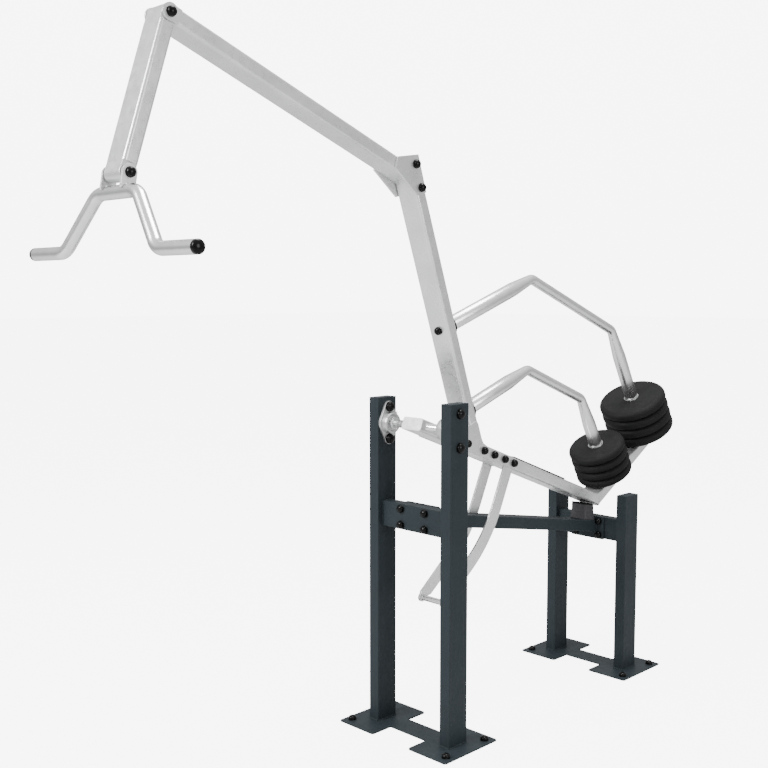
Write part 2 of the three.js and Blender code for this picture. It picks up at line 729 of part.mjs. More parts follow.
function addGuides(lever) {
  add(lever, 'guide_bar_upper', guideBar(uprightPoint(514.3, 0), 590.7, 657.8, 596.9), POLISHED);
  add(lever, 'guide_bar_lower', guideBar(uprightPoint(159, 0), 443.9, 427.1, 449.1), POLISHED);
  for (const [name, u] of [['upper', 514.3], ['lower', 159]]) {
    const disc = add(lever, `guide_flange_${name}`, guideDisc(), BLACK);
    disc.position.set(0, ...uprightPoint(u, -TUBE_DEEP / 2 - GAP));
    disc.rotation.x = 40 * RAD;
  }
  addStack(lever, 'plate_upper', 508.8, 30, 49, 158);
  addStack(lever, 'plate_lower', 154.4, 29, 42.5, 130);
}

addStand();
const lever = addLever();
addGuides(lever);
const link = group(lever, 'link_arm', [0, ...BOOM_TIP], LINK_LEAN - LEVER_TILT);
add(link, 'link', linkBar(), SILVER);
addHandle(link);

export default machine;
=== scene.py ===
"""Looks of a plate-loaded lat pulldown machine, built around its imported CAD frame.

Lengths in the helpers are millimetres in a plane of the machine (x across, y back, z up);
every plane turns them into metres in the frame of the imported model.
"""

import json
import math

import bmesh
import bpy
from mathutils import Matrix, Vector


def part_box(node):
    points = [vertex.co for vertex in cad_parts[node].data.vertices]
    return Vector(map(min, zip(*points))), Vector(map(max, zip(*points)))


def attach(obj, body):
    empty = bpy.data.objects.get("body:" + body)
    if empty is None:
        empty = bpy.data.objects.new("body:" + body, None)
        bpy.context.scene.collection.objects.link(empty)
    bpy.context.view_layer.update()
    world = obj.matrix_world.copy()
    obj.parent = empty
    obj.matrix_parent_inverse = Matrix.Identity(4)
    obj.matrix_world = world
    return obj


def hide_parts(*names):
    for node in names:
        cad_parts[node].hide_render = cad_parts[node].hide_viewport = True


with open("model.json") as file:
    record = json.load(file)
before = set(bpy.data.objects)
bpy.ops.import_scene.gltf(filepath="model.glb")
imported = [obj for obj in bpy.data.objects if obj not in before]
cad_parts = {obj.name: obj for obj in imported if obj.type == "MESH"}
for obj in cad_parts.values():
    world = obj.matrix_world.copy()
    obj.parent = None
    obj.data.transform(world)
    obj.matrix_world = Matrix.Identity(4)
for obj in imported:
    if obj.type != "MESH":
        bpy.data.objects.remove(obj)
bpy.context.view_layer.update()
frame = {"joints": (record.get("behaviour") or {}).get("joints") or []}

# ---- Camera ----------------------------------------------------------------------------------

CAMERA_PLACE = (2.7629, -2.9438, 1.7135)
CAMERA_TURN = (85, 0, 45)
CAMERA_LENS = 50

camera_data = bpy.data.cameras.new("camera")
camera_data.lens = CAMERA_LENS
camera_data.sensor_width = 36
camera_data.clip_end = 200
camera = bpy.data.objects.new("camera", camera_data)
camera.location = CAMERA_PLACE
camera.rotation_euler = [math.radians(angle) for angle in CAMERA_TURN]
bpy.context.scene.collection.objects.link(camera)
bpy.context.scene.camera = camera

# ---- Sizes of the machine, in millimetres ----------------------------------------------------

MM = 0.001
GAP = 0.3
TUBE_WIDE = 100
TUBE_DEEP = 50
POST_CORNER = 3
LEVER_CORNER = 10
LEVER_TUBE = (TUBE_WIDE, TUBE_DEEP, LEVER_CORNER)
PLATE = 8
HALF_DEEP = TUBE_DEEP / 2 + GAP
SIDE = TUBE_WIDE / 2 + GAP
PLATE_SIDE = SIDE + PLATE + GAP

POST_X = 188
POST_INNER = POST_X - HALF_DEEP
POST_OUTER = POST_X + HALF_DEEP
FRONT_HEIGHT = 1300
REAR_HEIGHT = 800
REAR_Y = 1180
BASE_THICK = 6
FOOT_INNER = 94
FOOT_OUTER = 282
FOOT_HALF = 150
FOOT_CORNER = 10
WEB_HALF = 50
ANCHOR = (250, 110)
FRONT_BAR_Z = 843.5
REAR_BAR_Z = 633.5
BAR_BOLT = (62, 31.5)
FLANGE_THICK = 10
FLANGE_SIZE = (174, 103)
BUMPER_Y = 1105
BUMPER_FOOT = (84, 76)
BUMPER_TOP = (76, 68)
BUMPER_PAD = 7
BEARING_BOLT = 63
HOUSING_R = 48
HOUSING_LOBE_R = 22
HOUSING_THICK = 12
CAP_R = 16.5
BEARING_CAP_R = 20
CAP_HIGH = 18

LEVER_TILT = -20.7
LINK_TILT = -17.83
HANDLE_TILT = -10.84
BEAM_START = -31
KNEE = (1243, 0)
LEG_ANGLE = 50
LEG_LENGTH = 590
UPRIGHT_FOOT = (333, 0)
UPRIGHT_ANGLE = 130
UPRIGHT_TOP = 1183
BOOM_LEVEL = 850.3
BOOM_TIP = (-1512.5, BOOM_LEVEL)
BOOM_END_BACK = 33
LINK_LENGTH = 501.8
LINK_INSET = 31
HANDLE_BAR_DROP = 54.5
HANDLE_BAR_BACK = 2.9
HANDLE_BEND = 60
BEND_STEPS = 14
HANDLE_SHOULDER = 108.6
GRIP_START = 252.5
GRIP_END = 435.7
GRIP_DROP = 173.3
HANDLE_R = 21
PIPE_R = 21.2
PIPE_BEND = 45
SLEEVE_R = 30
BUSH_R = 34.6
SLEEVE_FRONT = 120
SLEEVE_REAR = 140
GUIDE_TURN = 40
GUIDE_DISC = (45, 9)
STRAP_WIDE = 58
STRAP_BEND = 560
STOP_TUBE = (328, -620)
PAD_SIZE = (76, 386, 6)
PAD_MIDDLE = 769
HUB_BOLTS = (240, 350, 418, 490, 555)
ELBOW_BOLTS = (1069, 1157)
GUIDES = {"upper": (514.3, 590.7, 657.8, 596.9), "lower": (159, 443.9, 427.1, 449.1)}
STACKS = {"upper": (508.8, 30, 49, 158), "lower": (154.4, 29, 42.5, 130)}
SIDES = {"left": -1, "right": 1}


# ---- Planes ----------------------------------------------------------------------------------


class Plane:
    """An upright plane of the machine: its own y and z, tilted about the X axis."""

    def __init__(self, origin, tilt, body):
        self.origin = Vector(origin)
        self.turn = Matrix.Rotation(math.radians(tilt), 3, "X")
        self.body = body

    def spot(self, x, y, z):
        return self.origin + self.turn @ Vector((x, y, z)) * MM

    def way(self, x, y, z):
        return (self.turn @ Vector((x, y, z))).normalized()


pivots = {joint["name"]: joint.get("pos_m") for joint in frame["joints"]}
STAND = Plane((0, 0, 0), 0, "stand")
LEVER = Plane(pivots["lever_hinge"], LEVER_TILT, "lever")
LINK = Plane(pivots["link_hinge"], LINK_TILT, "link_arm")
HANDLE = Plane(pivots["handle_hinge"], HANDLE_TILT, "handle")


def polar(start, angle, distance):
    turn = math.radians(angle)
    return (start[0] + distance * math.cos(turn), start[1] + distance * math.sin(turn))


def upright_at(along, front):
    return polar(polar(UPRIGHT_FOOT, UPRIGHT_ANGLE, along), 220, front)


SPINE_DROP = (REAR_BAR_Z - FRONT_BAR_Z) / REAR_Y
SPINE_SLOPE = math.atan(SPINE_DROP)


def spine_level(y):
    """Height of the spine beam's middle line."""
    return FRONT_BAR_Z + SPINE_DROP * y


# ---- Materials -------------------------------------------------------------------------------


class Finish:
    """A procedural material with speckle, broad variation and a fine bump."""

    def __init__(self, name, color, slot, roughness, metallic=0.0, coat=0.0, gloss=0.5):
        self.material = bpy.data.materials.new(name)
        self.material.use_nodes = True
        self.slot = slot
        self.nodes = self.material.node_tree.nodes
        self.links = self.material.node_tree.links
        self.shader = self.nodes["Principled BSDF"]
        self.shader.inputs["Base Color"].default_value = (*color, 1)
        self.shader.inputs["Roughness"].default_value = roughness
        self.shader.inputs["Metallic"].default_value = metallic
        self.shader.inputs["Specular IOR Level"].default_value = gloss
        self.shader.inputs["Coat Weight"].default_value = coat
        self.shader.inputs["Coat Roughness"].default_value = 0.12
        self.color = color
        self.roughness = roughness
        self.place = self.nodes.new("ShaderNodeTexCoord").outputs["Object"]
        self.height = None

    def noise(self, scale, detail=3.0, stretch=(1, 1, 1)):
        mapping = self.nodes.new("ShaderNodeMapping")
        mapping.inputs["Scale"].default_value = stretch
        self.links.new(self.place, mapping.inputs["Vector"])
        noise = self.nodes.new("ShaderNodeTexNoise")
        noise.inputs["Scale"].default_value = scale
        noise.inputs["Detail"].default_value = detail
        self.links.new(mapping.outputs["Vector"], noise.inputs["Vector"])
        return noise.outputs["Fac"]

    def spread(self, value, low, high):
        ramp = self.nodes.new("ShaderNodeMapRange")
        ramp.inputs["From Min"].default_value = 0.3
        ramp.inputs["From Max"].default_value = 0.7
        ramp.inputs["To Min"].default_value = low
        ramp.inputs["To Max"].default_value = high
        self.links.new(value, ramp.inputs["Value"])
        return ramp.outputs["Result"]

    def vary_color(self, value, amount):
        mix = self.nodes.new("ShaderNodeMix")
        mix.data_type = "RGBA"
        mix.inputs["A"].default_value = (*[c * (1 - amount) for c in self.color], 1)
        mix.inputs["B"].default_value = (*[min(1, c * (1 + amount)) for c in self.color], 1)
        self.links.new(value, mix.inputs["Factor"])
        self.links.new(mix.outputs["Result"], self.shader.inputs["Base Color"])
        return self

    def vary_roughness(self, value, amount):
        result = self.spread(value, self.roughness - amount, self.roughness + amount)
        self.links.new(result, self.shader.inputs["Roughness"])
        return self

    def bump(self, value, distance, strength=1.0):
        bump = self.nodes.new("ShaderNodeBump")
        bump.inputs["Distance"].default_value = distance
        bump.inputs["Strength"].default_value = strength
        self.links.new(value, bump.inputs["Height"])
        if self.height is not None:
            self.links.new(self.height, bump.inputs["Normal"])
        self.height = bump.outputs["Normal"]
        self.links.new(self.height, self.shader.inputs["Normal"])
        return self


def powder_coat(name, color, slot, roughness, metallic=0.0, gloss=0.5):
    finish = Finish(name, color, slot, roughness, metallic, gloss=gloss)
    finish.vary_color(finish.spread(finish.noise(9), 0, 1), 0.06)
    finish.vary_roughness(finish.noise(45), 0.05)
    finish.bump(finish.noise(900, 2), 0.0003, 0.35)
    return finish.bump(finish.noise(60, 2), 0.0004, 0.2)


def rubber(name, color, slot, roughness):
    finish = Finish(name, color, slot, roughness, gloss=0.1)
    finish.vary_color(finish.spread(finish.noise(320, 4), 0, 1), 0.25)
    finish.vary_roughness(finish.noise(25), 0.08)
    return finish.bump(finish.noise(1100, 3), 0.0004, 0.5)


def polished(name, color, slot, roughness, stretch):
    finish = Finish(name, color, slot, roughness, metallic=1.0)
    finish.vary_color(finish.spread(finish.noise(30), 0, 1), 0.05)
    finish.vary_roughness(finish.noise(14, 5, stretch), 0.05)
    return finish.bump(finish.noise(420, 4, stretch), 0.0002, 0.12)


def glossy(name, color, slot, roughness, coat=0.06, gloss=0.12):
    finish = Finish(name, color, slot, roughness, coat=coat, gloss=gloss)
    finish.vary_color(finish.spread(finish.noise(60), 0, 1), 0.2)
    finish.vary_roughness(finish.noise(90), 0.04)
    return finish.bump(finish.noise(260, 2), 0.0002, 0.2)


STAND_PAINT = powder_coat(
    "stand_paint", (0.0175, 0.0235, 0.0275), "stand_paint", 0.5, gloss=0.12
)
LEVER_PAINT = powder_coat("lever_paint", (0.72, 0.725, 0.725), "lever_paint", 0.3, 0.8)
STEEL_X = polished("polished_across", (0.8, 0.805, 0.81), "polished_steel", 0.24, (0.1, 1, 1))
STEEL = polished("polished_bar", (0.8, 0.805, 0.805), "polished_steel", 0.3, (1, 0.15, 0.15))
CAST = polished("satin_casting", (0.56, 0.565, 0.565), "polished_steel", 0.4, (1, 1, 1))
BLACK = glossy("black_gloss", (0.002, 0.002, 0.0022), "black_gloss", 0.2)
GRIP_BLACK = glossy("black_plastic", (0.002, 0.002, 0.0022), "black_plastic", 0.22)
PLATE_RUBBER = rubber("plate_rubber", (0.0085, 0.0085, 0.0088), "plate_rubber", 0.6)
PAD_RUBBER = rubber("pad_rubber", (0.006, 0.006, 0.0063), "plate_rubber", 0.6)
BUMPER_RUBBER = rubber("bumper_rubber", (0.05, 0.048, 0.052), "bumper_rubber", 0.6)
WHITE = glossy("white_plastic", (0.93, 0.93, 0.925), "white_plastic", 0.35, 0.3, 0.4)


# ---- Mesh helpers ----------------------------------------------------------------------------


def finish_piece(name, bm, finish, body, replaces=(), bevel=0.0, crease=50):
    """Turns a bmesh into a piece that rides on a body, with its edges softened."""
    bmesh.ops.remove_doubles(bm, verts=bm.verts, dist=1e-6)
    bmesh.ops.recalc_face_normals(bm, faces=bm.faces)
    if bevel:
        sharp = [e for e in bm.edges if e.is_manifold and e.calc_face_angle() > math.radians(40)]
        bmesh.ops.bevel(
            bm, geom=sharp, offset=bevel * MM, segments=2, profile=0.5, affect="EDGES",
            clamp_overlap=True,
        )
    if name in replaces:
        name = f"{name}_look"
    mesh = bpy.data.meshes.new(name)
    bm.to_mesh(mesh)
    bm.free()
    mesh.materials.append(finish.material)
    mesh.polygons.foreach_set("use_smooth", [True] * len(mesh.polygons))
    mesh.set_sharp_from_angle(angle=math.radians(crease))
    piece = bpy.data.objects.new(name, mesh)
    bpy.context.scene.collection.objects.link(piece)
    if bevel:
        weighted = piece.modifiers.new("even_faces", "WEIGHTED_NORMAL")
        weighted.keep_sharp = True
    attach(piece, body)
    if replaces:
        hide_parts(*replaces)
    return piece


def add_loft(bm, rings, closed=False):
    """Skins a list of rings of points. An open loft gets a flat face on each end."""
    rows = [[bm.verts.new(point) for point in ring] for ring in rings]
    count = len(rows[0])
    spans = list(zip(rows, rows[1:]))
    if closed:
        spans.append((rows[-1], rows[0]))
    for first, second in spans:
        for i in range(count):
            j = (i + 1) % count
            bm.faces.new((first[i], first[j], second[j], second[i]))
    if not closed:
        bm.faces.new(rows[0])
        bm.faces.new(rows[-1])


def across(axis):
    """Two directions square to an axis."""
    side = Vector((1, 0, 0)) if abs(axis.x) < 0.9 else Vector((0, 1, 0))
    first = (side - axis * side.dot(axis)).normalized()
    return first, axis.cross(first)


def add_turned(bm, profile, origin, axis, segments=32):
    """A round solid: (radius, distance) pairs in millimetres from the axis and along it."""
    first, second = across(axis)
    rows = []
    for radius, along in profile:
        centre = origin + axis * along * MM
        if radius == 0:
            rows.append([bm.verts.new(centre)])
            continue
        row = []
        for i in range(segments):
            angle = 2 * math.pi * i / segments
            reach = first * math.cos(angle) + second * math.sin(angle)
            row.append(bm.verts.new(centre + reach * radius * MM))
        rows.append(row)
    for low, high in zip(rows, rows[1:]):
        for i in range(segments):
            j = (i + 1) % segments
            corners = [low[i % len(low)], low[j % len(low)], high[j % len(high)], high[i % len(high)]]
            unique = list(dict.fromkeys(corners))
            if len(unique) > 2:
                bm.faces.new(unique)


def dome(radius, height, foot=0.0, rim=2.5, steps=6):
    """Profile of a domed cap that stands on the level foot and ends on the axis."""
    profile = [(radius, foot), (radius, foot + rim)]
    for i in range(1, steps + 1):
        angle = math.pi / 2 * i / steps
        reach = radius * math.cos(angle) if i < steps else 0
        profile.append((reach, foot + rim + (height - rim) * math.sin(angle)))
    return profile


def rounded_rect(width, depth, radius, steps=7):
    points = []
    for sx, sy, start in ((1, 1, 0), (-1, 1, 90), (-1, -1, 180), (1, -1, 270)):
        for i in range(steps + 1):
            angle = math.radians(start + 90 * i / steps)
            x = sx * (width / 2 - radius) + radius * math.cos(angle)
            points.append((x, sy * (depth / 2 - radius) + radius * math.sin(angle)))
    return points


def arc(radius, start, end, steps, cy=0.0, cz=0.0):
    angles = [math.radians(start + (end - start) * i / steps) for i in range(steps + 1)]
    return [(cy + radius * math.cos(a), cz + radius * math.sin(a)) for a in angles]


def add_member(bm, plane, start, angle, length, slopes=(0, 0), size=LEVER_TUBE):
    """A rectangular tube seen from outside. Each end may be cut at a slope to the length."""
    rings = []
    for distance, slope in ((0, slopes[0]), (length, slopes[1])):
        ring = []
        for x, lift in rounded_rect(*size):
            y, z = polar(start, angle, distance + slope * lift)
            y, z = polar((y, z), angle - 90, lift)
            ring.append(plane.spot(x, y, z))
        rings.append(ring)
    add_loft(bm, rings)


def add_sheet(bm, plane, outline, x, thickness):
    """A flat outline in a plane's y and z, given thickness along x."""
    add_loft(bm, [[plane.spot(level, y, z) for y, z in outline] for level in (x, x + thickness)])


def add_pipe(bm, stations, segments=40):
    """A round bar through stations of centre, direction and radius, with flat ends."""
    rings = []
    side = Vector((0, 0, 0))
    for centre, direction, radius in stations:
        if side.length == 0:
            side = across(direction)[0]
        side = (side - direction * side.dot(direction)).normalized()
        other = direction.cross(side)
        ring = []
        for i in range(segments):
            angle = 2 * math.pi * i / segments
            ring.append(centre + (side * math.cos(angle) + other * math.sin(angle)) * radius * MM)
        rings.append(ring)
    add_loft(bm, rings)


def add_bead(bm, points, radius=2.4):
    """A weld bead round a closed loop of points, rippled along its length."""
    count = len(points)
    rings = []
    for i, point in enumerate(points):
        direction = (points[(i + 1) % count] - points[i - 1]).normalized()
        first, second = across(direction)
        swell = radius * (1 + 0.12 * (i % 2))
        ring = []
        for k in range(8):
            angle = 2 * math.pi * k / 8
            ring.append(point + (first * math.cos(angle) + second * math.sin(angle)) * swell * MM)
        rings.append(ring)
    add_loft(bm, rings, closed=True)


def evenly(points, step):
    """Points at even steps round a closed loop."""
    result = []
    for here, there in zip(points, points[1:] + points[:1]):
        gap = (there - here).length
        count = max(1, round(gap / (step * MM)))
        result += [here.lerp(there, i / count) for i in range(count)]
    return result


def bead_round(plane, start, angle, distance, slope=0.0, size=LEVER_TUBE, step=5):
    """The loop where a rectangular member meets a face that cuts it at a slope."""
    loop = []
    for x, lift in rounded_rect(*size, steps=3):
        y, z = polar(start, angle, distance + slope * lift)
        y, z = polar((y, z), angle - 90, lift)
        loop.append(plane.spot(x, y, z))
    return evenly(loop, step)


def turned_piece(name, profile, origin, axis, finish, body, replaces=(), segments=32, crease=50):
    bm = bmesh.new()
    add_turned(bm, profile, origin, axis, segments)
    return finish_piece(name, bm, finish, body, replaces, crease=crease)


def cap_profile(radius):
    """A domed cap over a nut: a narrow washer, then a deep round crown."""
    crown = dome(radius - 1.2, CAP_HIGH - 2.2, 2.2, 5, 9)
    return [(radius - 0.4, 0), (radius, 0.4), (radius, 1.8), (radius - 0.5, 2.2)] + crown


def bolt(name, plane, y, z, low, high, replaces=(), shank=8, radius=CAP_R):
    """A through bolt along X, with a domed cap on each face that it clamps."""
    right = [(shank, 0)] + cap_profile(radius)
    middle = (low + high) / 2
    half = (high - low) / 2
    profile = [(r, half + a) for r, a in right]
    profile = [(r, -a) for r, a in reversed(profile)] + profile
    return turned_piece(
        name, profile, plane.spot(middle, y, z), plane.way(1, 0, 0), BLACK, plane.body, replaces
    )


def cap(name, plane, place, way, radius=CAP_R):
    """The domed cap of a bolt that passes through one face."""
    profile = [(0, 0)] + cap_profile(radius)
    return turned_piece(name, profile, plane.spot(*place), plane.way(*way), BLACK, plane.body)


# ---- Stand -----------------------------------------------------------------------------------


def build_base(name, y0):
    """Two feet joined by a narrower web, in one flat plate with an anchor at each corner."""
    outer = FOOT_OUTER - FOOT_CORNER
    inner = FOOT_INNER + FOOT_CORNER
    reach = FOOT_HALF - FOOT_CORNER
    back = arc(FOOT_CORNER, 0, 90, 6, outer, reach) + arc(FOOT_CORNER, 90, 180, 6, inner, reach)
    back += [(FOOT_INNER, WEB_HALF), (-FOOT_INNER, WEB_HALF)]
    back += arc(FOOT_CORNER, 0, 90, 6, -inner, reach) + arc(FOOT_CORNER, 90, 180, 6, -outer, reach)
    points = back + [(-x, -y) for x, y in back]
    bm = bmesh.new()
    rings = [[STAND.spot(x, y0 + y, z) for x, y in points] for z in (0, BASE_THICK)]
    add_loft(bm, rings)
    finish_piece(name, bm, STAND_PAINT, "stand", (name,), bevel=0.8)
    anchors = [(x, y) for y in (-ANCHOR[1], ANCHOR[1]) for x in (-ANCHOR[0], ANCHOR[0])]
    for i, (x, y) in enumerate(anchors):
        cap(f"anchor_{name}_{i + 1}", STAND, (x, y0 + y, BASE_THICK), (0, 0, 1))


def build_post(name, side, y0, height):
    plane = Plane((side * POST_X * MM, 0, 0), 0, "stand")
    size = (TUBE_DEEP, TUBE_WIDE, POST_CORNER)
    bm = bmesh.new()
    add_member(bm, plane, (y0, BASE_THICK + GAP), 90, height - BASE_THICK - GAP, size=size)
    finish_piece(name, bm, STAND_PAINT, "stand", (name,), bevel=1.2)
    bead = bmesh.new()
    add_bead(bead, bead_round(plane, (y0, 0), 90, BASE_THICK + 0.6, size=size), 3)
    finish_piece(f"weld_{name}", bead, STAND_PAINT, "stand")


def build_crossbar(name, y0, z0):
    bm = bmesh.new()
    size = rounded_rect(TUBE_DEEP, TUBE_WIDE, POST_CORNER)
    ends = (-POST_INNER, POST_INNER)
    add_loft(bm, [[STAND.spot(x, y0 + y, z0 + z) for y, z in size] for x in ends])
    finish_piece(name, bm, STAND_PAINT, "stand", (name,), bevel=0.6)
    for side_name, side in SIDES.items():
        bead = bmesh.new()
        loop = [STAND.spot(side * POST_INNER, y0 + y, z0 + z) for y, z in size]
        add_bead(bead, evenly(loop, 5))
        finish_piece(f"weld_{name}_{side_name}", bead, STAND_PAINT, "stand")


def build_spine():
    """The sloping tube, with a flange plate at each end that is bolted through a crossbar."""
    bm = bmesh.new()
    front = HALF_DEEP
    back = REAR_Y - front
    size = rounded_rect(TUBE_WIDE, TUBE_DEEP / math.cos(SPINE_SLOPE), POST_CORNER)
    ends = (front + FLANGE_THICK / 2, back - FLANGE_THICK / 2)
    add_loft(bm, [[STAND.spot(x, y, spine_level(y) + z) for x, z in size] for y in ends])
    for y, z in ((front, FRONT_BAR_Z), (back - FLANGE_THICK, REAR_BAR_Z)):
        flange = rounded_rect(*FLANGE_SIZE, 6)
        levels = (y, y + FLANGE_THICK)
        add_loft(bm, [[STAND.spot(x, level, z + rise) for x, rise in flange] for level in levels])
    finish_piece("spine_beam", bm, STAND_PAINT, "stand", ("spine_beam",), bevel=0.8)
    for label, y in (("front", front + FLANGE_THICK), ("rear", back - FLANGE_THICK)):
        bead = bmesh.new()
        loop = [STAND.spot(x, y, spine_level(y) + z) for x, z in size]
        add_bead(bead, evenly(loop, 5))
        finish_piece(f"weld_spine_{label}", bead, STAND_PAINT, "stand")
    faces = {
        "front": (-TUBE_DEEP / 2, -1, FRONT_BAR_Z),
        "front_nut": (front + FLANGE_THICK, 1, FRONT_BAR_Z),
        "rear": (back - FLANGE_THICK, -1, REAR_BAR_Z),
        "rear_nut": (REAR_Y + TUBE_DEEP / 2, 1, REAR_BAR_Z),
    }
    for label, (y, way, level) in faces.items():
        for i in range(4):
            x = BAR_BOLT[0] * (1 if i % 2 else -1)
            z = level + BAR_BOLT[1] * (1 if i > 1 else -1)
            cap(f"spine_bolt_{label}_{i + 1}", STAND, (x, y, z), (0, way, 0))


def build_bumper():
    """A tapered rubber block on the spine beam, with a thin pad on its sloping top."""
    lift = TUBE_DEEP / 2 / math.cos(SPINE_SLOPE)
    top_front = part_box("bumper")[1][2] / MM
    wide, deep = BUMPER_FOOT

    def ring(width, length, level):
        points = rounded_rect(width, length, 5, 4)
        return [STAND.spot(x, BUMPER_Y + y, level(BUMPER_Y + y)) for x, y in points]

    def base(y):
        return spine_level(y) + lift + GAP

    def top(y):
        return top_front + SPINE_DROP * (y - (BUMPER_Y - BUMPER_TOP[1] / 2))

    def under_pad(y):
        return top(y) - BUMPER_PAD

    bm = bmesh.new()
    rings = [ring(wide, deep, base)]
    for share in (0.3, 0.6, 1.0):
        def level(y, share=share):
            return base(y) * (1 - share) + under_pad(y) * share

        taper = 8 * share + 2.5 * math.sin(math.pi * share)
        rings.append(ring(wide - taper, deep - taper, level))
    add_loft(bm, rings)
    finish_piece("bumper", bm, BUMPER_RUBBER, "stand", ("bumper",), bevel=1.5)
    cover = bmesh.new()
    add_loft(cover, [ring(*BUMPER_TOP, under_pad), ring(*BUMPER_TOP, top)])
    finish_piece("bumper_pad", cover, PAD_RUBBER, "stand", bevel=1.5)


# ---- Bearings --------------------------------------------------------------------------------


def build_housing(name, side, plane):
    """A two-bolt flange with a round boss, and a grease nipple on the boss."""
    spread = math.degrees(math.acos((HOUSING_R - HOUSING_LOBE_R) / BEARING_BOLT))
    outline = arc(HOUSING_R, spread - 90, 90 - spread, 10)
    outline += arc(HOUSING_LOBE_R, 90 - spread, 90 + spread, 10, 0, BEARING_BOLT)
    outline += arc(HOUSING_R, 90 + spread, 270 - spread, 10)
    outline += arc(HOUSING_LOBE_R, 270 - spread, 270 + spread, 10, 0, -BEARING_BOLT)
    bm = bmesh.new()
    thick = HOUSING_THICK - 0.2
    add_sheet(bm, plane, outline, POST_INNER - thick if side > 0 else -POST_INNER, thick)
    boss = [(28.4, 162), (42.2, 162), (42.2, 151), (41.8, 143), (41.2, 133), (40, 129.5)]
    boss += [(37.5, 128), (33, 128), (31.5, 130), (28.4, 131), (28.4, 162)]
    add_turned(bm, boss, plane.spot(0, 0, 0), plane.way(side, 0, 0), 48)
    nipple = [(0, 40), (4.2, 40), (4.2, 45), (2.6, 46), (3.4, 49), (2.2, 51.5), (0, 52)]
    add_turned(bm, nipple, plane.spot(side * 140, 0, 0), plane.way(0, 0.6, 0.8), 16)
    node = f"bearing_housing_{name}"
    finish_piece(node, bm, CAST, "stand", (node,), bevel=1.2)


def build_insert(name, side):
    """The ring that turns with the axle, and its two set screws."""
    insert = [(15.2, 118.5), (22.5, 118.5), (23.8, 119.5), (23.8, 132), (21.5, 133), (21.5, 134)]
    insert += [(27.9, 134), (27.9, 160), (15.2, 160), (15.2, 118.5)]
    bm = bmesh.new()
    add_turned(bm, insert, LEVER.spot(0, 0, 0), LEVER.way(side, 0, 0), 48)
    node = f"bearing_insert_{name}"
    finish_piece(node, bm, STEEL_X, "lever", (node,), bevel=0.3)
    screw = [(0, 0), (3, 0), (3, 1.2), (1.6, 1.2), (1.6, 0.5), (0, 0.5)]
    for i, angle in enumerate((60, 180)):
        y, z = polar((0, 0), angle, 23.2)
        place = LEVER.spot(side * 125.5, y, z)
        way = LEVER.way(0, y, z)
        label = f"set_screw_{name}_{i + 1}"
        turned_piece(label, screw, place, way, BLACK, "lever", segments=12)


def build_bearing(name, side):
    plane = Plane(pivots["lever_hinge"], 0, "stand")
    build_housing(name, side, plane)
    build_insert(name, side)
    faces = sorted((side * (POST_INNER - HOUSING_THICK), side * POST_OUTER))
    for level, rise in (("lower", -BEARING_BOLT), ("upper", BEARING_BOLT)):
        node = f"bearing_bolt_{level}_{name}"
        bolt(node, plane, 0, rise, *faces, (node,), radius=BEARING_CAP_R)


# ---- Lever frame -----------------------------------------------------------------------------

KNEE_SLOPE = math.tan(math.radians(LEG_ANGLE / 2))
UPRIGHT_SLOPE = 1 / math.tan(math.radians(UPRIGHT_ANGLE))


def lever_member(name, start, angle, length, slopes=(0, 0), bevel=0.6):
    bm = bmesh.new()
    add_member(bm, LEVER, start, angle, length, slopes)
    return finish_piece(name, bm, LEVER_PAINT, "lever", (name,), bevel=bevel)


def lever_bead(name, start, angle, distance, slope=0.0):
    bead = bmesh.new()
    add_bead(bead, bead_round(LEVER, start, angle, distance, slope))
    finish_piece(name, bead, LEVER_PAINT, "lever")


def build_end_cap(name, start, angle):
    """A moulded cap with a rounded rim, over the end of a tube."""
    rings = []
    for distance, inset in ((3, 0), (1.6, 0), (0.6, 0.6), (0, 2)):
        size = (TUBE_WIDE - 2 * inset, TUBE_DEEP - 2 * inset, LEVER_CORNER - inset)
        ring = []
        for x, lift in rounded_rect(*size):
            y, z = polar(polar(start, angle, distance), angle - 90, lift)
            ring.append(LEVER.spot(x, y, z))
        rings.append(ring)
    bm = bmesh.new()
    add_loft(bm, rings)
    finish_piece(name, bm, WHITE, "lever", (name,))


def build_frame_tubes():
    beam_length = KNEE[0] - BEAM_START - GAP / 2
    lever_member("lower_beam", (BEAM_START, 0), 0, beam_length, (0, KNEE_SLOPE))
    leg_start = polar(KNEE, LEG_ANGLE, GAP / 2)
    lever_member("rack_leg", leg_start, LEG_ANGLE, LEG_LENGTH - GAP / 2, (-KNEE_SLOPE, 0))
    lever_bead("weld_knee", KNEE, LEG_ANGLE, 0, -KNEE_SLOPE)
    foot = HALF_DEEP / math.sin(math.radians(UPRIGHT_ANGLE))
    lever_member(
        "upright", upright_at(foot, 0), UPRIGHT_ANGLE, UPRIGHT_TOP - foot, (UPRIGHT_SLOPE, 0), 1
    )
    lever_bead("weld_upright", UPRIGHT_FOOT, UPRIGHT_ANGLE, foot, UPRIGHT_SLOPE)
    build_end_cap("beam_end_cap", (BEAM_START - 3 - GAP, 0), 0)
    build_end_cap("rack_leg_cap", polar(KNEE, LEG_ANGLE, LEG_LENGTH + 3 + GAP), LEG_ANGLE + 180)


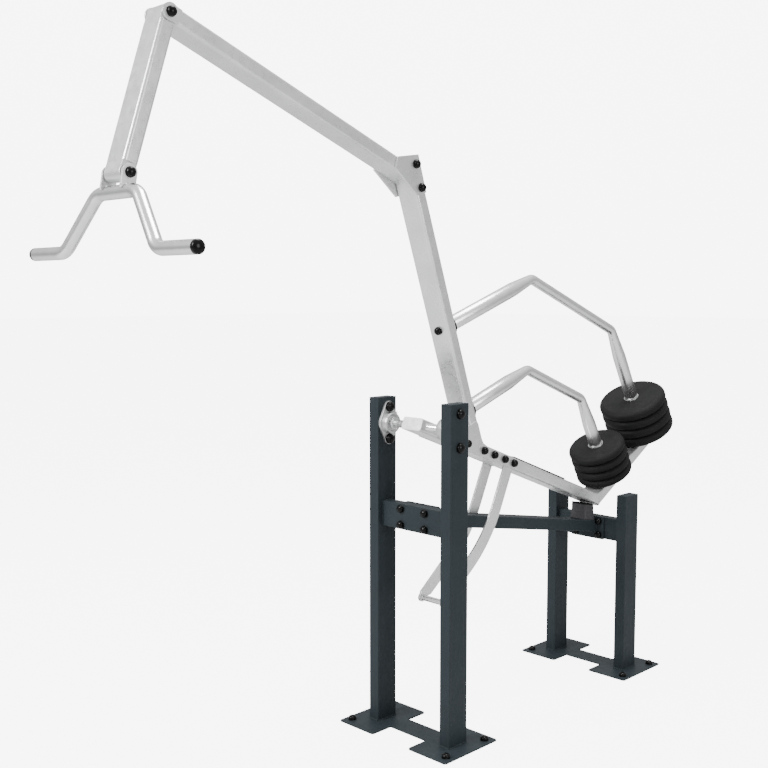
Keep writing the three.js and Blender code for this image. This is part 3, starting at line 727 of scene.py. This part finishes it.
def build_boom():
    """The long tube, two ears at its tip and the stop plate between them."""
    tip_y, tip_z = BOOM_TIP
    start = upright_at(0, HALF_DEEP)
    root = (start[0] + (BOOM_LEVEL - start[1]) * UPRIGHT_SLOPE, BOOM_LEVEL)
    length = root[0] - (tip_y + BOOM_END_BACK)
    bm = bmesh.new()
    add_member(bm, LEVER, root, 180, length, (-UPRIGHT_SLOPE, 0))
    back = tip_y + BOOM_END_BACK + 2
    ear = arc(27.6, 62, 298, 28, tip_y, tip_z) + [(back, tip_z - 24), (back, tip_z + 24)]
    for x in (44.2, -50):
        add_sheet(bm, LEVER, ear, x, 5.8)
    stop = [(tip_y + y, tip_z + z) for y, z in ((26.6, -25), (33.5, -25), (33.5, 21), (26.6, 21))]
    add_sheet(bm, LEVER, stop, -44, 88)
    finish_piece("boom", bm, LEVER_PAINT, "lever", ("boom",), bevel=0.7)
    lever_bead("weld_boom", root, 180, 0, -UPRIGHT_SLOPE)
    bolt("boom_pivot_bolt", LEVER, tip_y, tip_z, -SIDE, SIDE, ("boom_pivot_bolt",), 10)


def side_plates(kind, outline, bevel=1.0):
    for name, side in SIDES.items():
        bm = bmesh.new()
        add_sheet(bm, LEVER, outline, SIDE if side > 0 else -SIDE - PLATE, PLATE)
        node = f"{kind}_{name}"
        finish_piece(node, bm, LEVER_PAINT, "lever", (node,), bevel=bevel)


def build_straps():
    """Two curved straps under the beam, and the stop tube between their lower ends."""
    half = STRAP_WIDE / 2
    first, last = -94.4, -121.35
    centre = polar((514, -195), first - 90, STRAP_BEND)
    rear = arc(STRAP_BEND + half, first + 90, last + 90, 20, *centre)
    front = arc(STRAP_BEND - half, first + 90, last + 90, 20, *centre)
    strap = [(527 - half, -25.4)] + front + [(312, -594), (309, -600)]
    strap += arc(17, 170, 380, 16, *STOP_TUBE) + [(368, -602), (371, -600)]
    strap += list(reversed(rear)) + [(527 + half, -25.4)]
    side_plates("stop_strap", strap, 0.8)
    end = PLATE_SIDE
    tube = [(9, -end - 4), (15.5, -end - 4), (17, -end - 3), (17, -end), (11.5, -end)]
    tube += [(r, -a) for r, a in reversed(tube)]
    tube.append(tube[0])
    origin = LEVER.spot(0, *STOP_TUBE)
    turned_piece("stop_tube", tube, origin, LEVER.way(1, 0, 0), STEEL_X, "lever", ("stop_tube",))


def build_side_plates():
    """Hub and elbow plates on both sides, with the bolts that go through them."""
    hub = [(80, -25), (563, -25)] + arc(12, -90, 0, 6, 563, -13) + arc(12, 0, 90, 6, 563, 10)
    hub += [(362, 22), (335, 28), (319.6, 40.9), (275.7, 91.6), (268, 96.5), (260, 98)]
    hub += [(220.9, 65.2), (130, 22), (92, 22), (80, 10)]
    side_plates("hub_plate", hub)
    elbow = [(-508.8, 869.3), (-505, 826.8), (-365.1, 782.2), (-324.9, 812.1), (-413.1, 923.4)]
    side_plates("elbow_plate", elbow, 1.5)
    for i, y in enumerate(HUB_BOLTS):
        node = f"hub_bolt_{i + 1}"
        bolt(node, LEVER, y, 0, -PLATE_SIDE, PLATE_SIDE, (node,))
    for i, along in enumerate(ELBOW_BOLTS):
        node = f"elbow_bolt_{i + 1}"
        bolt(node, LEVER, *upright_at(along, 3), -PLATE_SIDE, PLATE_SIDE, (node,))


def build_beam_pad():
    wide, length, thick = PAD_SIZE
    outline = rounded_rect(wide, length, 4, 4)
    levels = (HALF_DEEP, HALF_DEEP + thick)
    bm = bmesh.new()
    add_loft(bm, [[LEVER.spot(x, PAD_MIDDLE + y, z) for x, y in outline] for z in levels])
    finish_piece("beam_pad", bm, PAD_RUBBER, "lever", ("beam_pad",), bevel=1.2)


def build_axle():
    axle = [(0, -161.5), (13.5, -161.5), (15, -160), (15, 160), (13.5, 161.5), (0, 161.5)]
    turned_piece("axle", axle, LEVER.spot(0, 0, 0), LEVER.way(1, 0, 0), STEEL_X, "lever", ("axle",))


# ---- Guide bars and weight plates ------------------------------------------------------------


def straight(plane, start, angle, distances, radii):
    way = plane.way(0, *polar((0, 0), angle, 1))
    return [
        (plane.spot(0, *polar(start, angle, distance)), way, radius)
        for distance, radius in zip(distances, radii)
    ]


def bend(plane, corner, angle_in, angle_out, radius, thick, steps=10):
    """Stations round a bend from one direction to another."""
    turn = angle_out - angle_in
    back = radius * math.tan(math.radians(abs(turn) / 2))
    start = polar(corner, angle_in, -back)
    hand = math.copysign(90, turn)
    centre = polar(start, angle_in + hand, radius)
    stations = []
    for i in range(steps + 1):
        angle = angle_in + turn * i / steps
        place = polar(centre, angle - hand, radius)
        stations.append((plane.spot(0, *place), plane.way(0, *polar((0, 0), angle, 1)), thick))
    return stations


def build_guide(label, along, rise, level, fall):
    """A bar with two bends and a thicker sleeve at each end, its disc and its end bolts."""
    start = upright_at(along, 0)
    first = polar(start, GUIDE_TURN, rise)
    second = polar(first, 0, level)
    disc_r, disc_thick = GUIDE_DISC
    foot = HALF_DEEP + disc_thick + GAP
    taper = rise - PIPE_BEND * math.tan(math.radians(GUIDE_TURN / 2)) - SLEEVE_FRONT
    end = fall - HALF_DEEP
    neck = SLEEVE_R - 0.3
    rim = SLEEVE_R - 1
    front = (foot, foot + 1, taper - 4, taper + 4)
    rear = (20, SLEEVE_REAR - 4, SLEEVE_REAR + 4, end - 1, end)
    stations = straight(LEVER, start, GUIDE_TURN, front, (rim, SLEEVE_R, SLEEVE_R, neck))
    stations += bend(LEVER, first, GUIDE_TURN, 0, PIPE_BEND, PIPE_R)
    stations += bend(LEVER, second, 0, -GUIDE_TURN, PIPE_BEND, PIPE_R)
    stations += straight(LEVER, second, -GUIDE_TURN, rear, (PIPE_R, neck, SLEEVE_R, SLEEVE_R, rim))
    bm = bmesh.new()
    add_pipe(bm, stations)
    node = f"guide_bar_{label}"
    finish_piece(node, bm, STEEL, "lever", (node,))
    edge = disc_r - 1.5
    disc = [(0, 0), (edge, 0), (disc_r, 1.5), (disc_r, disc_thick - 1.5), (edge, disc_thick)]
    disc.append((0, disc_thick))
    place = LEVER.spot(0, *upright_at(along, -HALF_DEEP))
    way = LEVER.way(0, *polar((0, 0), GUIDE_TURN, 1))
    flange = f"guide_flange_{label}"
    turned_piece(flange, disc, place, way, BLACK, "lever", (flange,), 48)
    face = upright_at(along, HALF_DEEP)
    cap(f"guide_bolt_{label}", LEVER, (0, *face), (0, *polar((0, 0), UPRIGHT_ANGLE + 90, 1)))
    leg = polar(polar(KNEE, LEG_ANGLE, STACKS[label][0]), LEG_ANGLE + 90, -HALF_DEEP)
    cap(f"sleeve_bolt_{label}", LEVER, (0, *leg), (0, *polar((0, 0), LEG_ANGLE - 90, 1)))


def plate_profile(radius, thick):
    """Flat faces and one full round rim, so that stacked plates show deep grooves."""
    rim = radius - 0.3
    half = thick / 2 - 0.3
    profile = [(BUSH_R, 0.5), (60, 0.4), (rim - 24, 0.3)]
    for step in range(11):
        share = 1 - step / 10
        profile.append((rim - 18 * share**3, 0.3 + half * (1 - share)))
    profile += [(r, thick - a) for r, a in reversed(profile[:-1])]
    return profile + profile[:1]


def bush_profile(thick):
    profile = [(31.2, 1), (31.8, 0), (34, 0), (BUSH_R, 0.8)]
    profile += [(r, thick - a) for r, a in reversed(profile)]
    return profile + profile[:1]


def build_stack(label, along, first, pitch, radius):
    """Four plates on a sleeve. Each is a body of its own and carries its own steel bush."""
    way = LEVER.way(0, *polar((0, 0), LEG_ANGLE + 90, 1))
    plate = plate_profile(radius, pitch - GAP)
    bush = bush_profile(pitch - GAP)
    for i in range(4):
        spot = polar(polar(KNEE, LEG_ANGLE, along), LEG_ANGLE + 90, first + i * pitch)
        origin = LEVER.spot(0, *spot)
        node = f"plate_{label}_{i + 1}"
        turned_piece(node, plate, origin, way, PLATE_RUBBER, node, (node,), 96, 40)
        turned_piece(f"{node}_bush", bush, origin, way, CAST, node, (), 64)


# ---- Link and handle -------------------------------------------------------------------------


def build_link():
    """A tube with a round knuckle at each end, joined to it by a narrower neck."""
    bm = bmesh.new()
    start = (0, LINK_INSET - LINK_LENGTH)
    add_member(bm, LINK, start, 90, LINK_LENGTH - 2 * LINK_INSET)
    for z, way in ((0, -1), (-LINK_LENGTH, 1)):
        neck = [(-24.6, z + way * 33), (24.6, z + way * 33), (25.6, z), (-25.6, z)]
        add_sheet(bm, LINK, neck, -42.6, 85.2)
        knuckle = [(10.5, -43), (25, -43), (26, -42), (26, 42), (25, 43), (10.5, 43), (10.5, -43)]
        add_turned(bm, knuckle, LINK.spot(0, 0, z), LINK.way(1, 0, 0), 48)
    finish_piece("link", bm, LEVER_PAINT, "link_arm", ("link",), bevel=0.6)


def bent_bar(points, bend, radius):
    """Stations of a round bar through corner points, with a round bend at each inner corner."""
    stations = [(points[0], (points[1] - points[0]).normalized(), radius)]
    for before, corner, after in zip(points, points[1:], points[2:]):
        into = (corner - before).normalized()
        out = (after - corner).normalized()
        turn = into.angle(out)
        axis = into.cross(out).normalized()
        start = corner - into * bend * MM * math.tan(turn / 2)
        centre = start + axis.cross(into) * bend * MM
        for i in range(BEND_STEPS + 1):
            spin = Matrix.Rotation(turn * i / BEND_STEPS, 3, axis)
            stations.append((centre + spin @ (start - centre), spin @ into, radius))
    stations.append((points[-1], (points[-1] - points[-2]).normalized(), radius))
    return stations


def build_handle():
    top = -HANDLE_BAR_DROP
    low = top - GRIP_DROP
    right = [(HANDLE_SHOULDER, top), (GRIP_START, low), (GRIP_END, low)]
    corners = [(-x, z) for x, z in reversed(right)] + right
    points = [HANDLE.spot(x, HANDLE_BAR_BACK, z) for x, z in corners]
    bm = bmesh.new()
    add_pipe(bm, bent_bar(points, HANDLE_BEND, HANDLE_R))
    finish_piece("handle_bar", bm, STEEL_X, "handle", ("handle_bar",))
    saddle = arc(PIPE_R + 2 * GAP, 170, 10, 16, HANDLE_BAR_BACK, top)
    ear = arc(25, 0, 180, 24) + [(-24, -8), (-24, top + 4)] + saddle + [(25, top + 4), (25, -8)]
    grip = [(0, 0), (HANDLE_R - 0.4, 0), (HANDLE_R, 0.8)] + dome(HANDLE_R, 19.1, 0.8, 7, 10)
    for name, side in SIDES.items():
        bm = bmesh.new()
        add_sheet(bm, HANDLE, ear, SIDE if side > 0 else -SIDE - PLATE, PLATE)
        node = f"clevis_ear_{name}"
        finish_piece(node, bm, LEVER_PAINT, "handle", (node,), bevel=0.8)
        origin = HANDLE.spot(side * (GRIP_END + GAP), HANDLE_BAR_BACK, low)
        node = f"grip_cap_{name}"
        turned_piece(node, grip, origin, HANDLE.way(side, 0, 0), GRIP_BLACK, "handle", (node,), 48)
    node = "handle_pivot_bolt"
    bolt(node, HANDLE, 0, 0, -PLATE_SIDE, PLATE_SIDE, (node,), 10)


# ---- Everything ------------------------------------------------------------------------------

build_base("front_base_plate", 0)
build_base("rear_base_plate", REAR_Y)
for side_name, side_sign in SIDES.items():
    build_post(f"front_post_{side_name}", side_sign, 0, FRONT_HEIGHT)
    build_post(f"rear_post_{side_name}", side_sign, REAR_Y, REAR_HEIGHT)
    build_bearing(side_name, side_sign)
build_crossbar("front_crossbar", 0, FRONT_BAR_Z)
build_crossbar("rear_crossbar", REAR_Y, REAR_BAR_Z)
build_spine()
build_bumper()
build_frame_tubes()
build_boom()
build_side_plates()
build_straps()
build_beam_pad()
build_axle()
for guide_label, guide_sizes in GUIDES.items():
    build_guide(guide_label, *guide_sizes)
    build_stack(guide_label, *STACKS[guide_label])
build_link()
build_handle()

# ---- Floor and light -------------------------------------------------------------------------

FLOOR_HALF = 60
FLOOR_GLOW = 6.4
SKY_GLOW = 6.9
HORIZON = 0.45
ZENITH = 1.3
LIGHT_SIZE = 3
MIDDLE = (0, 0.2, 1.2)


def camera_glow(tree, strength):
    """A strength that only the picture sees, so a pale backdrop doesn't flood the object."""
    path = tree.nodes.new("ShaderNodeLightPath")
    scale = tree.nodes.new("ShaderNodeMath")
    scale.operation = "MULTIPLY"
    scale.inputs[1].default_value = strength
    tree.links.new(path.outputs["Is Camera Ray"], scale.inputs[0])
    return scale.outputs["Value"]


def build_floor():
    mesh = bpy.data.meshes.new("floor")
    corners = [(-1, -1), (1, -1), (1, 1), (-1, 1)]
    mesh.from_pydata([(x * FLOOR_HALF, y * FLOOR_HALF, 0) for x, y in corners], [], [(0, 1, 2, 3)])
    material = bpy.data.materials.new("floor")
    material.use_nodes = True
    tree = material.node_tree
    shader = tree.nodes["Principled BSDF"]
    shader.inputs["Base Color"].default_value = (0.5, 0.5, 0.5, 1)
    shader.inputs["Roughness"].default_value = 0.9
    shader.inputs["Emission Color"].default_value = (1, 1, 1, 1)
    tree.links.new(camera_glow(tree, FLOOR_GLOW), shader.inputs["Emission Strength"])
    mesh.materials.append(material)
    floor = bpy.data.objects.new("floor", mesh)
    bpy.context.scene.collection.objects.link(floor)


def build_world():
    """Pale all round: dimmer at the horizon than overhead, so that metal shows its form."""
    world = bpy.data.worlds.new("studio")
    world.use_nodes = True
    tree = world.node_tree
    sky = tree.nodes["Background"]
    sky.inputs["Color"].default_value = (1, 1, 1, 1)
    place = tree.nodes.new("ShaderNodeTexCoord")
    split = tree.nodes.new("ShaderNodeSeparateXYZ")
    rise = tree.nodes.new("ShaderNodeMapRange")
    rise.inputs["From Min"].default_value = -0.1
    rise.inputs["From Max"].default_value = 0.9
    rise.inputs["To Min"].default_value = HORIZON
    rise.inputs["To Max"].default_value = ZENITH
    total = tree.nodes.new("ShaderNodeMath")
    tree.links.new(place.outputs["Generated"], split.inputs["Vector"])
    tree.links.new(split.outputs["Z"], rise.inputs["Value"])
    tree.links.new(rise.outputs["Result"], total.inputs[0])
    tree.links.new(camera_glow(tree, SKY_GLOW), total.inputs[1])
    tree.links.new(total.outputs["Value"], sky.inputs["Strength"])
    bpy.context.scene.world = world


def add_light(name, place, power):
    """A soft round lamp, aimed at the middle of the machine."""
    data = bpy.data.lights.new(name, "AREA")
    data.shape = "DISK"
    data.size = LIGHT_SIZE
    data.energy = power
    light = bpy.data.objects.new(name, data)
    light.location = place
    way = Vector(MIDDLE) - Vector(place)
    light.rotation_euler = way.to_track_quat("-Z", "Y").to_euler()
    bpy.context.scene.collection.objects.link(light)


build_floor()
build_world()
add_light("key", (-1.5, -6, 4.5), 700)
add_light("top", (0.5, 0.5, 7), 450)
add_light("fill", (6, -0.5, 2.5), 170)
